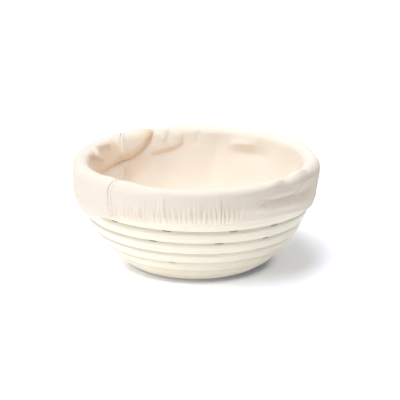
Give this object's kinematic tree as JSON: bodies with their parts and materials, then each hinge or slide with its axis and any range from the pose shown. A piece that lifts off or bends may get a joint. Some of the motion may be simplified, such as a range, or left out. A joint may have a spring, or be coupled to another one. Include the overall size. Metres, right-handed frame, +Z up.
{
  "type": "proofing basket",
  "caption": "Round proofing basket coiled from cream rattan cane, with a gathered cotton liner turned down over the rim; the liner lifts out.",
  "frame": {"origin": "on the surface the basket stands on, under the middle of its bounding box", "axes": "+Z up out of the basket's mouth, -Y the side that faces the camera, +X to the camera's right"},
  "size_m": [0.1818, 0.1822, 0.0787],
  "materials": {
    "rattan": "pale peeled cane, dull",
    "cotton": "plain woven, unbleached",
    "elastic": "flat braided elastic",
    "thread": "cotton sewing thread",
    "staple_wire": "browned wire"
  },
  "bodies": {
    "basket": {"base_cane": "rattan", "wall_cane": "rattan", "rim_cane": "rattan"},
    "liner": {"liner_main_panel": "cotton", "liner_side_panel": "cotton", "skirt_main_panel": "cotton", "skirt_side_panel": "cotton", "hem_elastic": "elastic"}
  },
  "joints": [
    {"name": "liner_lift", "type": "slide", "parent": "basket", "child": "liner", "axis": [0, 0, 1], "range_m": [0, 0.08], "deforming": ["skirt_main_panel", "skirt_side_panel", "hem_elastic"]}
  ]
}
